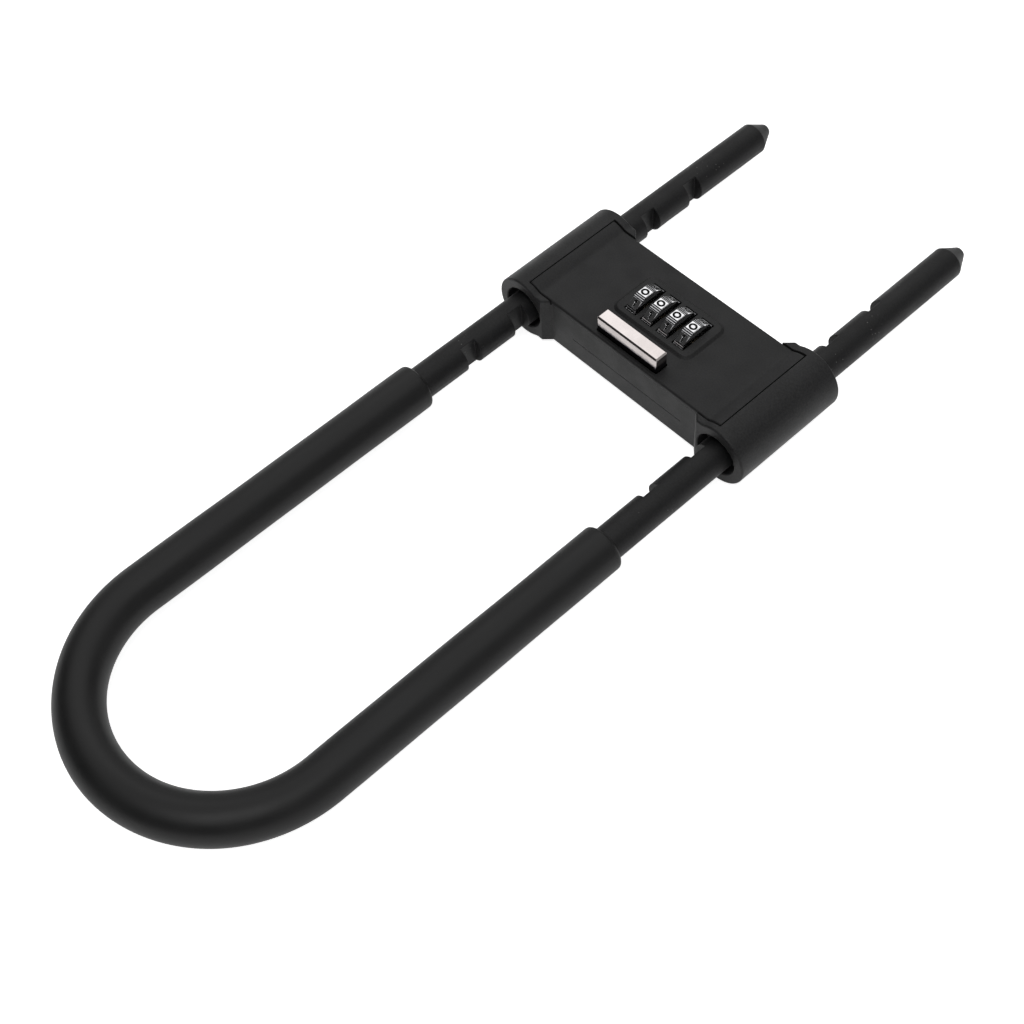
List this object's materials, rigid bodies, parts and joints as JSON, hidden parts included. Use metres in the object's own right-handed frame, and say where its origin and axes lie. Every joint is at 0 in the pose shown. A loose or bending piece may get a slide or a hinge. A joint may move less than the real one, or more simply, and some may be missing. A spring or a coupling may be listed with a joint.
{
  "type": "u lock",
  "caption": "Long U-shaped bicycle lock: black shackle with soft sleeve, notched legs sliding through a flat lock body with number dials and a pop-up bar button.",
  "frame": {"origin": "middle of the lock body's flat back, halfway between the two legs", "axes": "+X across the legs toward the right leg, +Y along the legs toward their free tips, +Z out of the dial face"},
  "size_m": [0.126, 0.377, 0.0311],
  "materials": {
    "body_coat": "satin black powder coat, fine grain",
    "cover_coat": "satin black coat, slightly smoother than the body",
    "bar_coat": "matte black coat over hardened steel",
    "sleeve_soft": "smooth matte black soft plastic skin",
    "button_chrome": "polished, faintly warm",
    "wheel_chrome": "satin bright plating with dark filled numerals",
    "cam_brass": "blackened",
    "shaft_steel": "ground",
    "carrier_steel": "pressed sheet",
    "bolt_steel": "hardened, ground",
    "fastener_steel": "black oxide",
    "spring_steel": "drawn wire and strip",
    "zinc_cast": "plain die casting",
    "bush_polymer": "moulded low-friction polymer"
  },
  "bodies": {
    "lock_body": {"housing": "body_coat", "cover_plate": "cover_coat", "cover_screws": "fastener_steel", "leg_bushes": "bush_polymer", "wheel_axle": "shaft_steel", "axle_spacer": "shaft_steel", "axle_brackets": "zinc_cast", "axle_clips": "spring_steel", "detent_spring": "spring_steel", "button_springs": "spring_steel"},
    "shackle": {"shackle_bar": "bar_coat", "shackle_sleeve": "sleeve_soft"},
    "dial_1": {"digit_wheel_1": "wheel_chrome", "code_cam_1": "cam_brass"},
    "dial_2": {"digit_wheel_2": "wheel_chrome", "code_cam_2": "cam_brass"},
    "dial_3": {"digit_wheel_3": "wheel_chrome", "code_cam_3": "cam_brass"},
    "dial_4": {"digit_wheel_4": "wheel_chrome", "code_cam_4": "cam_brass"},
    "button": {"release_button": "button_chrome", "button_carrier": "carrier_steel", "button_screws": "fastener_steel"},
    "left_bolt": {"bolt_left": "bolt_steel", "bolt_pin_left": "shaft_steel"},
    "right_bolt": {"bolt_right": "bolt_steel", "bolt_pin_right": "shaft_steel"},
    "fence": {"fence_plate": "shaft_steel", "fence_pins": "shaft_steel"}
  },
  "joints": [
    {"name": "shackle_slide", "type": "slide", "parent": "lock_body", "child": "shackle", "axis": [0, 1, 0], "range_m": [-0.1434, 0.0478]},
    {"name": "dial_1_spin", "type": "hinge", "parent": "lock_body", "child": "dial_1", "pos_m": [-0.01219, 0.0018, 0.01765], "axis": [1, 0, 0], "continuous": true},
    {"name": "dial_2_spin", "type": "hinge", "parent": "lock_body", "child": "dial_2", "pos_m": [-0.00407, 0.0018, 0.01765], "axis": [1, 0, 0], "continuous": true},
    {"name": "dial_3_spin", "type": "hinge", "parent": "lock_body", "child": "dial_3", "pos_m": [0.00407, 0.0018, 0.01765], "axis": [1, 0, 0], "continuous": true},
    {"name": "dial_4_spin", "type": "hinge", "parent": "lock_body", "child": "dial_4", "pos_m": [0.01219, 0.0018, 0.01765], "axis": [1, 0, 0], "continuous": true},
    {"name": "button_press", "type": "slide", "parent": "lock_body", "child": "button", "axis": [0, 0, -1], "range_m": [0, 0.005], "deforming": ["button_springs"]},
    {"name": "left_bolt_slide", "type": "slide", "parent": "lock_body", "child": "left_bolt", "axis": [-1, 0, 0], "range_m": [0, 0.0042]},
    {"name": "right_bolt_slide", "type": "slide", "parent": "lock_body", "child": "right_bolt", "axis": [1, 0, 0], "range_m": [0, 0.0042]},
    {"name": "fence_slide", "type": "slide", "parent": "lock_body", "child": "fence", "axis": [0, 1, 0], "range_m": [0, 0.0015]}
  ],
  "couplings": [
    {"joint": "left_bolt_slide", "follows": "button_press", "ratio": 0.84},
    {"joint": "right_bolt_slide", "follows": "button_press", "ratio": 0.84},
    {"joint": "fence_slide", "follows": "button_press", "ratio": 0.3}
  ]
}
